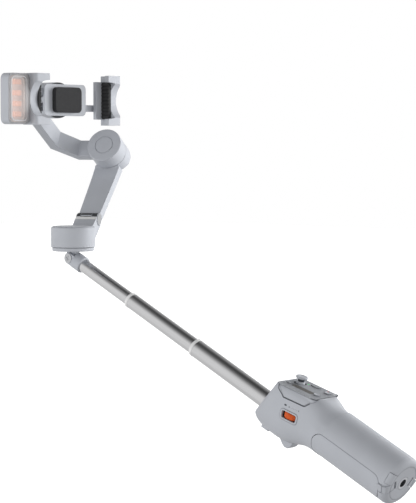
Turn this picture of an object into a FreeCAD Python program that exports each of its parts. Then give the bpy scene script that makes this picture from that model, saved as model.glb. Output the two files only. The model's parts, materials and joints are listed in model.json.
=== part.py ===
import FreeCAD, Part
import math
import os
import re
import Sketcher
from FreeCAD import Placement, Rotation, Vector

# A telescopic phone gimbal: grip with a detachable remote and two fold-out legs, a
# three-stage rod, a tilting pan motor, a folding arm, two more motors and a spring
# clamp that carries a clip-on light. Millimetres and degrees.
#
# Row frame: origin at the mouth of the tripod thread in the grip's base, +Z up.
# The grip and the rod lie in the XZ plane, sloping down towards +X at rod_slope.

X, Y, Z = Vector(1, 0, 0), Vector(0, 1, 0), Vector(0, 0, 1)

SIZES = {
    # grip and head
    "rod_slope": 25.666, "hinge_reach": 364.5, "rod_drop": 10.3,
    "grip_radius": 19.3, "grip_cavity_radius": 13.4,
    "head_half_width": 17.6, "nose_lean": 17.0, "nose_top_x": -122.6,
    "nose_front_x": -130.2, "nose_corner": 6.0, "nose_under": 15.0,
    "bore_radius": 7.5, "bore_end_x": -34.0, "base_round": 5.0,
    "base_disc_radius": 13.8, "base_disc_depth": 3.0, "thread_radius": 3.175, "thread_depth": 9.0,
    # tripod legs
    "leg_outer_radius": 19.3, "leg_inner_radius": 16.0,
    "leg_centre_angle": 116.0, "leg_tip_x": -73.0, "leg_heel_x": -7.0,
    "leg_axis_x": -3.5, "leg_axis_radius": 15.5, "knuckle_width": 6.4,
    "knuckle_offset": 4.0, "leg_pin_radius": 1.0,
    # inside the grip, and the side wheel
    "battery_radius": 6.8, "battery_length": 46.0, "battery_x": -64.0, "battery_z": 6.0,
    "board_length": 22.0, "board_width": 20.0, "board_thickness": 1.4, "board_depth": 13.7,
    "charge_x": -84.0, "charge_y": 13.5, "charge_length": 8.4, "charge_width": 7.0,
    "charge_height": 3.2,
    "wheel_radius": 6.8, "wheel_axle_radius": 1.0,
    # rod
    "tube_large_radius": 7.2, "tube_mid_radius": 6.34, "tube_small_radius": 5.43,
    "tube_wall": 0.55, "tube_overlap": 21.0, "collar_length": 2.6, "sliding_gap": 0.05,
    "entry_reach": 228.5, "large_top": 152.3, "mid_top": 75.0, "small_top": 9.0,
    "groove_width": 1.3, "groove_depth": 0.3,
    # rod hinge
    "lug_radius": 4.6, "lug_outer": 5.8, "lug_inner": 3.2, "hinge_pin_radius": 1.5,
    "socket_radius": 6.9, "socket_length": 9.0,
    # pan motor
    "pan_radius": 18.4, "pan_bottom": 5.9, "pan_top": 26.5, "pan_base_height": 3.4,
    # arm
    "arm_yaw": 22.36, "arm_half_width": 9.3, "arm_hinge_y": 34.5, "arm_hinge_z": 30.9,
    "arm_barrel_radius": 5.2, "arm_pin_radius": 1.5, "arm_slope": 43.0,
    "arm_front_offset": 1.4, "arm_back_offset": 6.0,
    # tilt motor, its axis aimed at the middle of the held phone
    "clamp_height": 130.87, "tilt_lean": 27.9, "tilt_radius": 15.2,
    "tilt_face": 78.8, "tilt_length": 15.0, "tilt_back": 27.0,
    # roll motor and clamp
    "roll_radius": 15.0, "roll_front": 18.4, "roll_length": 20.0,
    "phone_half_width": 38.8,
    "jaw_height": 41.5, "jaw_wall_inner": 42.0, "jaw_wall_outer": 50.0, "jaw_front": 8.5,
    "jaw_back": 8.3, "finger_reach": 34.0, "finger_thickness": 4.0,
    "waist_cut_x": 19.8, "waist_cut_radius": 18.0, "pinion_radius": 2.9,
    # clip-on light
    "light_width": 22.6, "light_height": 41.0, "light_front": 2.2, "light_back": 8.4,
    # remote
    "remote_tilt": 9.32, "remote_x": -103.5, "remote_z": 17.5, "remote_length": 36.0,
    "remote_width": 30.4, "remote_height": 9.0, "remote_round": 3.0,
}

doc = FreeCAD.newDocument("CameraGimbal")
sheet = doc.addObject("Spreadsheet::Sheet", "Sizes")
for row, (alias, value) in enumerate(SIZES.items(), start=1):
    sheet.set(f"A{row}", alias)
    sheet.set(f"B{row}", str(value))
    sheet.setAlias(f"B{row}", alias)
doc.recompute()


class Sheet:
    """Reads a driving dimension by name, for shapes built with Part's own functions."""

    def __getattr__(self, alias):
        return float(getattr(sheet, alias))


S = Sheet()
WORD = re.compile(r"[a-z][a-z_]+")
nodes = []


def formula(text):
    """An expression on the sheet, written with bare aliases."""
    return WORD.sub(lambda m: "Sizes." + m.group() if m.group() in SIZES else m.group(), str(text))


def bind(thing, **properties):
    for name, text in properties.items():
        thing.setExpression(name, formula(text))
    return thing


def place(thing, at=(0, 0, 0), turn=None):
    """Binds a primitive's position to the sheet and turns it about its own corner."""
    thing.Placement = Placement(Vector(), turn or Rotation())
    for letter, text in zip("xyz", at):
        thing.setExpression("Placement.Base." + letter, formula(text))
    return thing


ALONG_X = Rotation(Y, 90)
ALONG_Y = Rotation(X, -90)


def cylinder(radius, height, at=(0, 0, 0), turn=None):
    solid = doc.addObject("Part::Cylinder", "round")
    return place(bind(solid, Radius=radius, Height=height), at, turn)


def box(length, width, height, at=(0, 0, 0), turn=None):
    solid = doc.addObject("Part::Box", "block")
    return place(bind(solid, Length=length, Width=width, Height=height), at, turn)


def middle_box(length, width, height, at):
    """A box centred on the point at."""
    corner = [f"({c}) - ({side}) / 2" for c, side in zip(at, (length, width, height))]
    return box(length, width, height, corner)


def fuse(*solids):
    joined = doc.addObject("Part::MultiFuse", "joined")
    joined.Shapes = list(solids)
    joined.Refine = True
    return joined


def cut(base, *tools):
    result = doc.addObject("Part::Cut", "trimmed")
    result.Base = base
    result.Tool = tools[0] if len(tools) == 1 else fuse(*tools)
    result.Refine = True
    return result


def along(axis):
    """A test for straight edges that run along an axis."""
    def test(edge):
        step = edge.Vertexes[-1].Point - edge.Vertexes[0].Point
        return step.Length > 0.05 and step.cross(axis).Length < 1e-4 * step.Length
    return test


def keep(label, thing, frame=Placement()):
    """Names a finished sub-part and places it.

    A bound primitive keeps its own place inside a compound, and the compound takes the frame.
    """
    if thing.TypeId in ("Part::Cylinder", "Part::Box"):
        holder = doc.addObject("Part::Compound", label)
        holder.Links = [thing]
        thing = holder
    thing.Label = label
    thing.Placement = frame
    nodes.append(thing)
    return thing


def feature(label, shape, frame=Placement()):
    thing = doc.addObject("Part::Feature", label)
    thing.Shape = shape
    return keep(label, thing, frame)


def sketch_in(body, plane, points):
    """A closed outline whose corners are bound to the sheet, on one of the body's planes."""
    sketch = body.newObject("Sketcher::SketchObject", "outline")
    flat = next(f for f in body.Origin.OriginFeatures if f.Role == plane)
    sketch.AttachmentSupport = [(flat, "")]
    sketch.MapMode = "FlatFace"
    corners = [Vector(value_of(x), value_of(y), 0) for x, y in points]
    for start, end in zip(corners, corners[1:] + corners[:1]):
        sketch.addGeometry(Part.LineSegment(start, end), False)
    count = len(corners)
    for i in range(count):
        sketch.addConstraint(Sketcher.Constraint("Coincident", i, 2, (i + 1) % count, 1))
    for i, (x, y) in enumerate(points):
        for kind, text, value in (("DistanceX", x, corners[i].x), ("DistanceY", y, corners[i].y)):
            if abs(value) < 1e-9:
                axis = -2 if kind == "DistanceX" else -1
                sketch.addConstraint(Sketcher.Constraint("PointOnObject", i, 1, axis))
                continue
            index = sketch.addConstraint(Sketcher.Constraint(kind, -1, 1, i, 1, value))
            sketch.setExpression(f"Constraints[{index}]", formula(text))
    return sketch


def value_of(text):
    """The number that an expression on the sheet stands for."""
    words = WORD.sub(lambda m: str(SIZES.get(m.group(), m.group())), str(text))
    return FreeCAD.Units.Quantity(words).Value


def turned(label, points, frame=Placement()):
    """A body of revolution about its own Z: points are (radius, height)."""
    body = doc.addObject("PartDesign::Body", label)
    sketch = sketch_in(body, "XZ_Plane", points)
    turn = body.newObject("PartDesign::Revolution", "turning")
    turn.Profile = sketch
    turn.ReferenceAxis = (sketch, ["V_Axis"])
    turn.Angle = 360
    return keep(label, body, frame)


# Frames: the grip, the rod, the gimbal head above the rod's hinge, its arm, its two
# upper motors, the clamp, the remote and the two legs.
HANDLE = Placement(Vector(), Rotation(Y, S.rod_slope))
ROD = HANDLE * Placement(Vector(-S.hinge_reach, 0, -S.rod_drop), Rotation(Y, 90))
HEAD = Placement(HANDLE.multVec(Vector(-S.hinge_reach, 0, -S.rod_drop)), Rotation())
ARM = HEAD * Placement(Vector(), Rotation(Z, S.arm_yaw))
CLAMP = HEAD * Placement(Vector(0, 0, S.clamp_height), Rotation())
TILT = ARM * Placement(Vector(0, 0, S.clamp_height), Rotation(X, 90 - S.tilt_lean))
REMOTE = HANDLE * Placement(Vector(S.remote_x, 0, S.remote_z), Rotation(Y, -S.remote_tilt))
LEG_LEFT = HANDLE * Placement(Vector(), Rotation(X, S.leg_centre_angle))
LEG_RIGHT = HANDLE * Placement(Vector(), Rotation(X, -S.leg_centre_angle))


def solid_cylinder(radius, start, end, centre=(0, 0)):
    """A cylinder along X from start to end, for shapes built with Part's own functions."""
    return Part.makeCylinder(radius, end - start, Vector(start, *centre), X)


def ring_x(inner, outer, start, end, centre=(0, 0)):
    bore = solid_cylinder(inner, start - 1, end + 1, centre)
    return solid_cylinder(outer, start, end, centre).cut(bore)


def slab(x0, x1, y0, y1, z0, z1):
    return Part.makeBox(x1 - x0, y1 - y0, z1 - z0, Vector(x0, y0, z0))


def round_slab(x0, x1, y0, y1, z0, z1, radius, axis=Z):
    """A box with the four edges along one axis rounded."""
    block = slab(x0, x1, y0, y1, z0, z1)
    return block.makeFillet(radius, [edge for edge in block.Edges if along(axis)(edge)])


def soften(shape, radius, pick):
    return shape.makeFillet(radius, [edge for edge in shape.Edges if pick(edge)])


def largest(shape):
    """The biggest of a shape's solids, without the crumbs that a cut can leave."""
    return max(shape.Solids, key=lambda solid: solid.Volume)


def prism(outline, direction):
    """A closed outline of points pushed along a direction."""
    return Part.Face(Part.makePolygon(outline + outline[:1])).extrude(direction)


def moved(shape, frame):
    copy = shape.copy()
    copy.Placement = frame * copy.Placement
    return copy


# --- Grip and head -------------------------------------------------------------------

PLATE_SLOPE = math.tan(math.radians(S.remote_tilt))
HEAD_WALL = 2.6
# How far the head's loft rises over the sloping top before the top is cut flat
HEAD_RISE = 2.3


def plate_height(x):
    """Height of the head's sloping top at a place along the grip."""
    return S.remote_z + PLATE_SLOPE * (x - S.remote_x)


def section(x, half_width, low, middle, high, squareness):
    """A smooth closed outline across the grip in four quarters: round below, squarer above."""
    quarters = []
    tangents = [Z, Y * -1, Z * -1, Y, Z]
    above, below = (high - middle, 2 / squareness), (middle - low, 1)
    for start, (height, power) in enumerate((above, above, below, below)):
        points = []
        for step in range(8):
            angle = math.pi / 2 * (start + step / 7)
            cos, sin = round(math.cos(angle), 9), round(math.sin(angle), 9)
            y = half_width * math.copysign(abs(cos) ** power, cos)
            points.append(Vector(x, y, middle + height * math.copysign(abs(sin) ** power, sin)))
        curve = Part.BSplineCurve()
        curve.interpolate(Points=points, InitialTangent=tangents[start] * 10,
                          FinalTangent=tangents[start + 1] * 10, Scale=True)
        quarters.append(curve.toShape())
    return Part.Wire(quarters)


def head_loft(shrink, rise):
    """The head and its blend into the round grip, shrunk all round by a wall.

    Its last outline is a little smaller than the grip, so that the two meet in a clean step.
    """
    low = -S.rod_drop - S.head_half_width
    # Each station: place along the grip, half width, lowest, widest and highest heights, squareness
    stations = [
        (-144, S.head_half_width, low, -8, plate_height(-144) + rise, 5),
        (-124, S.head_half_width, low, -8, plate_height(-124) + rise, 5),
        (-104, S.head_half_width, low, -8, plate_height(-104) + rise, 5),
        (-95, S.head_half_width + 0.2, low + 2.6, -6.5, plate_height(-95) + rise, 4.4),
        (-86, S.head_half_width + 0.7, low + 6.6, -3.4, plate_height(-86) + 0.6 * rise, 3.4),
        (-76, S.grip_radius - 0.2, -S.grip_radius - 0.2, -0.6, S.grip_radius + 0.3, 2.3),
        (-66, S.grip_radius - 0.08, 0.08 - S.grip_radius, 0, S.grip_radius - 0.08, 2),
    ]
    wires = [section(x, a - shrink, zl + shrink, zm, zh - shrink, n)
             for x, a, zl, zm, zh, n in stations]
    return Part.makeLoft(wires, True, False)


def nose_plane_tool(setback):
    """What lies in front of the slanted nose, moved back by setback."""
    block = slab(-60, 0, -40, 40, -60, 60)
    frame = Placement(Vector(S.nose_top_x + setback, 0, plate_height(S.nose_top_x)),
                      Rotation(Y, S.nose_lean))
    return moved(block, frame)


def nose_rounding_tools():
    """What lies outside the nose's upright corners, its blunt front and its round underside."""
    half = S.head_half_width + 0.01
    frame = Placement(Vector(S.nose_top_x, 0, plate_height(S.nose_top_x)), Rotation(Y, S.nose_lean))
    rounded = round_slab(0, 40, -half, half, -60, 60, S.nose_corner)
    corners = moved(slab(-60, S.nose_corner + 2, -40, 40, -60, 60).cut(rounded), frame)
    low = -S.rod_drop - S.head_half_width
    centre_x, centre_z = S.nose_front_x + S.nose_under, low + S.nose_under
    under = slab(-150, centre_x, -40, 40, -40, centre_z)
    under = under.cut(Part.makeCylinder(S.nose_under, 80, Vector(centre_x, -40, centre_z), Y))
    return [corners, under, slab(-150, S.nose_front_x, -40, 40, -40, 5)]


def leg_blank(grow, inner, outer):
    """The curved panel cut from the grip's wall, in a leg's own frame."""
    outline = round_slab(S.leg_tip_x - grow, S.leg_heel_x + grow * 0.6,
                         -10.6 - grow, 10.6 + grow, 4, 26, 7.5)
    return ring_x(inner, outer, -90, 10).common(outline)


def knuckle_profile(grow, side_from, side_to):
    """The leg's hinge knuckle in a leg's frame: a neck, a rounded barrel and an inner tail."""
    g = grow
    x0 = S.leg_heel_x - 1.0
    outline = [
        Vector(x0, 0, S.leg_inner_radius - 0.4 - g), Vector(x0, 0, S.leg_outer_radius - 0.2 + g),
        Vector(-3.2, 0, S.leg_outer_radius - 0.3 + g), Vector(-0.9 + g, 0, 18.0 + g),
        Vector(-0.1 + g, 0, 15.6),
        Vector(-0.1 + g, 0, 9.4 - g), Vector(-2.6 - g, 0, 9.4 - g), Vector(-4.2 - g, 0, 13.2 - g),
    ]
    block = prism(outline, Vector(0, side_to - side_from, 0))
    block.translate(Vector(0, side_from, 0))
    return block


WHEEL_LOCAL = Placement(Vector(-99.5, 0, -1.9), Rotation(Y, -S.remote_tilt))
WHEEL = HANDLE * WHEEL_LOCAL
WHEEL_CENTRE_Y = -11.2
WHEEL_SEAT = WHEEL * Placement(Vector(0, WHEEL_CENTRE_Y, 0), Rotation())
# The leg's heel is hollowed to this radius about its hinge, so that it swings clear of the grip
HEEL_SWEEP = 5.15
LEG_FRAMES = {"left": LEG_LEFT, "right": LEG_RIGHT}
LEG_LOCAL = {side: HANDLE.inverse() * frame for side, frame in LEG_FRAMES.items()}
KNUCKLE_LOW = S.knuckle_offset - S.knuckle_width / 2
KNUCKLE_HIGH = S.knuckle_offset + S.knuckle_width / 2


def knuckle_span(side, grow=0.0):
    low, high = KNUCKLE_LOW - grow, KNUCKLE_HIGH + grow
    return (low, high) if side == "left" else (-high, -low)


def hinge_block_shape(grow, side):
    """The fixed block beside a leg's knuckle, rounded over the base's edge."""
    g = grow
    block = slab(-3.9 - g, 0.0, -4.1 - g, 4.1 + g, 9.6 - g, S.leg_outer_radius - 0.15 + g)
    corner = Part.makeBox(9, 20, 9, Vector(-3.4, -10, 15.4))
    round_part = Part.makeCylinder(3.4 + g, 20, Vector(-3.4, -10, 15.4 + 0.35), Y)
    block = block.cut(corner.cut(round_part))
    lift = Rotation(X, 72.5) if side == "left" else Rotation(X, -72.5)
    return moved(block, Placement(Vector(), lift))


def leg_pin_seat(side):
    """The hole for a leg's hinge pin across the lugs beside its knuckle."""
    low, high = knuckle_span(side, 3.0)
    pin = Part.makeCylinder(S.leg_pin_radius, high - low,
                            Vector(S.leg_axis_x, low, S.leg_axis_radius), Y)
    return moved(pin, LEG_LOCAL[side])


# The trigger's pin, and the openings for the trigger and the rod's lock button
TRIGGER_X, TRIGGER_Z, TRIGGER_PIN_RADIUS = -107.9, -24.9, 0.8
TRIGGER_HALF_WIDTH = 4.7
LOCK_FROM, LOCK_TO, LOCK_HALF_WIDTH = -129.0, -121.0, 3.4
LOCK_LIP = 1.6
WINDOW_GAP = 0.3


# Outline of the remote's side flaps in its own frame: place along it and height
FLAP = [(-15.9, 0), (-7.9, -7.3), (11.3, -7.0), (18.3, -0.2), (18.3, 0)]


def flap_prism(low, high):
    """The notch in the head's side for the remote's flap, a little larger than the flap."""
    outline = [(-16.2, 0), (-8.0, -7.6), (11.4, -7.3), (18.6, -0.3), (18.6, 2), (-18, 2)]
    return prism([Vector(x, low, z) for x, z in outline], Vector(0, high - low, 0))


def housing_shape():
    grip = solid_cylinder(S.grip_radius, -66, 0)
    grip = soften(grip, S.base_round, lambda e: abs(e.BoundBox.XMax) < 1e-3)
    outer = head_loft(0, HEAD_RISE).fuse(grip)
    outer = outer.cut([nose_plane_tool(0)] + nose_rounding_tools())
    outer = outer.cut(moved(slab(-52, 54, -40, 40, 0, 40), HANDLE.inverse() * REMOTE))
    cavity = head_loft(HEAD_WALL, HEAD_RISE - S.remote_height - HEAD_WALL)
    cavity = cavity.cut([nose_plane_tool(4.0), slab(-150, S.nose_front_x + 5, -30, 30, -30, 30),
                         slab(-75, 0, -30, 30, -30, 30)])
    body = outer.cut(cavity)
    body = body.cut(solid_cylinder(S.grip_cavity_radius, -76, 1))
    body = body.cut(solid_cylinder(S.bore_radius, -150, S.bore_end_x, (0, -S.rod_drop)))
    body = body.cut(solid_cylinder(8.8, -150, -122.5, (0, -S.rod_drop)))
    seat = round_slab(-S.remote_length / 2 - 0.3, S.remote_length / 2 + 0.3, -S.remote_width / 2 - 0.3,
                      S.remote_width / 2 + 0.3, -S.remote_height - 0.3, 20, S.remote_round + 0.3)
    seat = seat.fuse(flap_prism(-30, 30))
    local_remote = HANDLE.inverse() * REMOTE
    body = body.cut(moved(seat, local_remote))
    window = round_slab(-7.2, 7.2, -25, -11, -3.1, 3.1, 1.6, Y)
    body = body.cut(moved(window, WHEEL_LOCAL))
    rebate = moved(round_slab(-8.4, 8.4, -25, -10, -4.1, 4.1, 2.5, Y), WHEEL_LOCAL)
    rebate = rebate.cut(head_loft(1.3, HEAD_RISE))
    bracket_slot = moved(slab(-2.6, 2.6, -20, -8, -4.2, 4.2), WHEEL_LOCAL)
    body = body.cut([rebate, bracket_slot])
    half_length, half_height = S.charge_length / 2 + 0.2, S.charge_height / 2 + 0.2
    body = body.cut(slab(S.charge_x - half_length, S.charge_x + half_length,
                         9, 24, -half_height, half_height))
    body = body.cut(Part.makeCylinder(TRIGGER_PIN_RADIUS, 14, Vector(TRIGGER_X, -7, TRIGGER_Z), Y))
    trigger_window = TRIGGER_HALF_WIDTH + 0.4
    lock_window = LOCK_HALF_WIDTH + WINDOW_GAP
    body = body.cut(slab(-110.6, -94.4, -trigger_window, trigger_window, -34, -20))
    body = body.cut([
        slab(LOCK_FROM - WINDOW_GAP, LOCK_TO + WINDOW_GAP, -lock_window, lock_window, -34, -19.9),
        slab(LOCK_TO, LOCK_TO + LOCK_LIP + WINDOW_GAP, -lock_window, lock_window, -23.6, -19.9)])
    for side in ("left", "right"):
        local = LEG_LOCAL[side]
        low, high = knuckle_span(side, 0.25)
        body = body.cut(moved(leg_blank(0.3, S.leg_inner_radius - 0.25, 30), local))
        body = body.cut(moved(knuckle_profile(0.25, low, high), local))
        sweep = Part.makeCylinder(8.2, high - low, Vector(S.leg_axis_x, low, S.leg_axis_radius), Y)
        sweep = sweep.common(slab(-14, 4, low, high, 4, S.leg_axis_radius + 0.4))
        opening = slab(S.leg_heel_x - 1, 2, low, high, S.leg_axis_radius, 26)
        body = body.cut(moved(sweep.fuse(opening), local))
        body = body.cut(hinge_block_shape(0.2, side))
        body = body.cut(leg_pin_seat(side))
    return largest(body)


feature("handle_housing", housing_shape(), HANDLE)

for side, frame in LEG_FRAMES.items():
    low, high = knuckle_span(side)
    leg = leg_blank(0, S.leg_inner_radius, S.leg_outer_radius).fuse(knuckle_profile(0, low, high))
    leg = leg.cut(Part.makeCylinder(S.leg_pin_radius + 0.05, 30,
                                    Vector(S.leg_axis_x, -15, S.leg_axis_radius), Y))
    leg = leg.cut(slab(-4.0, -3.4, low - 1, high + 1, 18.4, 25))
    hinge = Vector(S.leg_axis_x, 0, S.leg_axis_radius)
    leg = leg.cut([Part.makeCylinder(HEEL_SWEEP, 20, hinge + Y * high, Y),
                   Part.makeCylinder(HEEL_SWEEP, 20, hinge + Y * low, Y * -1)])
    feature(f"tripod_leg_{side}", leg.removeSplitter(), frame)

pins = [leg_pin_seat(side) for side in ("left", "right")]
feature("leg_hinge_pins", Part.makeCompound(pins), HANDLE)


def base_plate_shape():
    disc = solid_cylinder(S.base_disc_radius - 0.45, -S.base_disc_depth, 0)
    disc = disc.cut(solid_cylinder(5.15, -20, 5))
    for side in ("left", "right"):
        low, high = knuckle_span(side, 0.25)
        disc = disc.fuse(hinge_block_shape(0, side))
        disc = disc.cut(moved(slab(-14, 4, low, high, 7.6, 26), LEG_LOCAL[side]))
        disc = disc.cut(leg_pin_seat(side))
    return disc.removeSplitter()


feature("base_plate", base_plate_shape(), HANDLE)

INSERT = HANDLE * Placement(Vector(), Rotation(Y, 90))
turned("thread_insert", [
    ("thread_radius", "0"), ("5.1", "0"), ("5.1", "-base_disc_depth - 1"),
    ("6.4", "-base_disc_depth - 1"),
    ("6.4", "-thread_depth - 2"), ("0", "-thread_depth - 2"), ("0", "-thread_depth"),
    ("thread_radius", "-thread_depth")], INSERT)
turned("nose_bush", [
    ("tube_large_radius + sliding_gap", "entry_reach + 5.5"), ("8.0", "entry_reach + 5.5"),
    ("8.7", "entry_reach + 7"), ("8.7", "entry_reach + 13"),
    ("tube_large_radius + sliding_gap", "entry_reach + 13")], ROD)
cell = cylinder("battery_radius", "battery_length", ("battery_x", "0", "battery_z"), ALONG_X)
keep("battery_cell", cell, HANDLE)
board = middle_box("board_length", "board_width", "board_thickness", ("-2", "0", "-board_depth"))
keep("control_board", board, REMOTE)
socket = middle_box("charge_length", "charge_width", "charge_height", ("charge_x", "charge_y", "0"))
keep("charge_socket", socket, HANDLE)

# The side wheel and its frame
turned("zoom_wheel", [
    ("wheel_axle_radius + 0.05", "-2.3"), ("wheel_radius - 0.5", "-2.3"), ("wheel_radius", "-1.8"),
    ("wheel_radius", "1.8"), ("wheel_radius - 0.5", "2.3"), ("wheel_axle_radius + 0.05", "2.3")],
    WHEEL_SEAT)
keep("wheel_axle", cylinder("wheel_axle_radius", "8", ("0", "0", "-4")), WHEEL_SEAT)


def wheel_frame_shape():
    """A rounded ring set in the window, with two lugs behind it that hold the wheel's axle."""
    ring = round_slab(-8.3, 8.3, -18.2, -14.2, -4.0, 4.0, 2.4, Y).cut(
        round_slab(-6.9, 6.9, -30, -5, -2.8, 2.8, 1.5, Y))
    outside = head_loft(-0.35, HEAD_RISE)
    inside = head_loft(1.2, HEAD_RISE)
    local = WHEEL_LOCAL.inverse()
    ring = ring.common(moved(outside, local)).cut(moved(inside, local))
    ring = largest(ring)
    lugs = [slab(-2.4, 2.4, -16.6, WHEEL_CENTRE_Y + 2, low, low + 1.2) for low in (-4.0, 2.8)]
    axle_hole = Part.makeCylinder(S.wheel_axle_radius, 12, Vector(0, WHEEL_CENTRE_Y, -6))
    return ring.fuse(lugs).cut(axle_hole).removeSplitter()


feature("wheel_frame", wheel_frame_shape(), WHEEL)


def trigger_shape():
    outline = [(-109.6, -24.2), (-109.6, -26.6), (-107.6, -28.4), (-104.6, -30.6), (-101.6, -31.9),
               (-98.4, -31.2),
               (-96.6, -29.0), (-95.6, -25.4), (-96.4, -23.6), (-104, -22.4)]
    corners = [Vector(x, -TRIGGER_HALF_WIDTH, z) for x, z in outline]
    blade = prism(corners, Vector(0, 2 * TRIGGER_HALF_WIDTH, 0))
    blade = soften(blade, 0.7, lambda e: e.BoundBox.YLength < 1e-6)
    return blade.cut(Part.makeCylinder(TRIGGER_PIN_RADIUS + 0.05, 20,
                                       Vector(TRIGGER_X, -10, TRIGGER_Z), Y))


feature("trigger", trigger_shape(), HANDLE)
keep("trigger_pin", cylinder(TRIGGER_PIN_RADIUS, "14", (TRIGGER_X, "-7", TRIGGER_Z), ALONG_Y), HANDLE)


# --- Remote --------------------------------------------------------------------------

def remote_shell_shape():
    half_length, half_width, depth = S.remote_length / 2, S.remote_width / 2, S.remote_height
    shell = round_slab(-half_length, half_length, -half_width, half_width, -depth, -1.0, S.remote_round)
    wall = 1.0
    hollow = round_slab(-half_length + wall, half_length - wall, -half_width + wall, half_width - wall,
                        -depth + 1.4, 0, S.remote_round - wall)
    shell = shell.cut(hollow)
    surface = moved(head_loft(0, HEAD_RISE), REMOTE.inverse() * HANDLE)
    for low, high in ((half_width - 0.8, 22), (-22, 0.8 - half_width)):
        flap = prism([Vector(x, low, z) for x, z in FLAP], Vector(0, high - low, 0)).common(surface)
        shell = shell.fuse(flap.cut(slab(-20, 20, -half_width - 0.05, half_width + 0.05, -1.0, 1)))
    return shell.removeSplitter()


# Places on the remote's top: X runs to the rear, Y to the far side
JOYSTICK = (-11.3, 4.4)
FRONT_BUTTON, REAR_BUTTON = (-14.1, -4.7), (11.8, -4.7)
RECORD_BUTTON, ROCKER = (12.3, 8.2), (-1.0, 10.6)
LEDS = [(-7.0, 8.6), (9.0, 12.4), (15.4, 12.0)]
BUTTON_RADIUS, BUTTON_HOLE = 2.5, 2.6


def top_plate_shape():
    half_length, half_width = S.remote_length / 2, S.remote_width / 2
    plate = round_slab(-half_length, half_length, -half_width, half_width, -1.0, 0, S.remote_round)
    openings = [Part.makeCylinder(4.6, 4, Vector(*JOYSTICK, -2))]
    for spot in (FRONT_BUTTON, REAR_BUTTON, RECORD_BUTTON):
        openings.append(Part.makeCylinder(BUTTON_HOLE, 4, Vector(*spot, -2)))
    openings += [Part.makeCylinder(0.55, 4, Vector(*spot, -2)) for spot in LEDS]
    openings.append(round_slab(ROCKER[0] - 4.5, ROCKER[0] + 4.5, ROCKER[1] - 2.3, ROCKER[1] + 2.3,
                               -2, 2, 2.2))
    openings.append(round_slab(-10, 8, -6.5, -2.5, -0.35, 2, 1.9))
    return plate.cut(openings)


feature("remote_shell", remote_shell_shape(), REMOTE)
feature("remote_top", top_plate_shape(), REMOTE)
keep("remote_board", middle_box("remote_length - 4.4", "remote_width - 4.4", "1",
                                ("0", "0", "-5.4")), REMOTE)
keep("remote_battery", cylinder("6", "1.4", ("6.5", "-3", "-7.5")), REMOTE)
lights = [Part.makeCylinder(0.5, 1.1, Vector(*spot, -1.02)) for spot in LEDS]
feature("remote_leds", Part.makeCompound(lights), REMOTE)


def button(label, spot):
    """A round push button with a flange under the plate."""
    flange = BUTTON_RADIUS + 0.3
    turned(label, [("0", "0.75"), (BUTTON_RADIUS, "0.75"), (BUTTON_RADIUS, "-1.2"), (flange, "-1.2"),
                   (flange, "-2.0"), ("1", "-2.0"), ("1", "-4.4"), ("0", "-4.4")],
           REMOTE * Placement(Vector(*spot, 0), Rotation()))


button("front_button", FRONT_BUTTON)
button("rear_button", REAR_BUTTON)
button("record_button", RECORD_BUTTON)


def rocker_shape():
    cap = round_slab(-4.0, 4.0, -2.1, 2.1, -1.6, 0.7, 2.0)
    trunnions = Part.makeCylinder(0.4, 4, Vector(0, -2, -2.6), Y)
    return cap.fuse([slab(-1, 1, -1, 1, -3.4, -1.6), trunnions]).removeSplitter()


feature("zoom_rocker", rocker_shape(), REMOTE * Placement(Vector(*ROCKER, 0), Rotation()))

STICK = REMOTE * Placement(Vector(*JOYSTICK, 0), Rotation())
turned("joystick_ring", [("2.0", "-2.0"), ("3.6", "-2.0"), ("3.6", "-3.6"), ("2.0", "-3.6")], STICK)
turned("joystick_cap", [
    ("0", "5.9"), ("3.9", "6.3"), ("4.7", "5.8"), ("4.7", "5.2"), ("4.1", "4.8"), ("4.2", "4.4"),
    ("3.2", "2.2"), ("2.3", "2.0"), ("2.3", "0.9"), ("3.9", "0.2"), ("3.9", "-0.4"), ("1.8", "-0.4"),
    ("1.8", "-3.4"), ("0", "-3.4")], STICK)

# Button on the head's underside that frees the rod, with a lip inside that keeps it in
lock_button = round_slab(LOCK_FROM, LOCK_TO, -LOCK_HALF_WIDTH, LOCK_HALF_WIDTH, -30.0, -22.4, 1.6)
lip = slab(LOCK_TO - 2, LOCK_TO + LOCK_LIP, 0.4 - LOCK_HALF_WIDTH, LOCK_HALF_WIDTH - 0.4, -23.3, -22.4)
lock_button = lock_button.fuse(lip).removeSplitter()
feature("rod_lock_button", lock_button, HANDLE)

# --- Rod -----------------------------------------------------------------------------


def tube(label, radius, start, end):
    """A thin tube with a shallow guide groove along its upper side."""
    outside = cylinder(radius, f"({end}) - ({start})", ("0", "0", start))
    inside = cylinder(f"{radius} - tube_wall", f"({end}) - ({start}) + 2", ("0", "0", f"{start} - 1"))
    groove = box("groove_depth + 1", "groove_width", f"({end}) - ({start}) + 2",
                 (f"-{radius} - 1", "-groove_width / 2", f"{start} - 1"))
    keep(label, cut(outside, inside, groove), ROD)


def collar(label, outer, inner, start, rim):
    """A ring on a tube's upper end, with a bush inside the tube that guides the next tube."""
    guide = f"{inner} + sliding_gap"
    turned(label, [(guide, f"{start} - collar_length"), (rim, f"{start} - collar_length"), (rim, start),
                   (f"{outer} - tube_wall", start), (f"{outer} - tube_wall", f"{start} + 7"),
                   (guide, f"{start} + 7")], ROD)


def slider(label, tube_radius, bore_radius, end):
    """A ring on a tube's lower end that runs in the next tube's bore."""
    turned(label, [(f"{tube_radius} - tube_wall - 0.7", end),
                   (f"{bore_radius} - tube_wall - sliding_gap", end),
                   (f"{bore_radius} - tube_wall - sliding_gap", f"{end} + 2.4"),
                   (f"{tube_radius} - tube_wall - 0.7", f"{end} + 2.4")], ROD)


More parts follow.
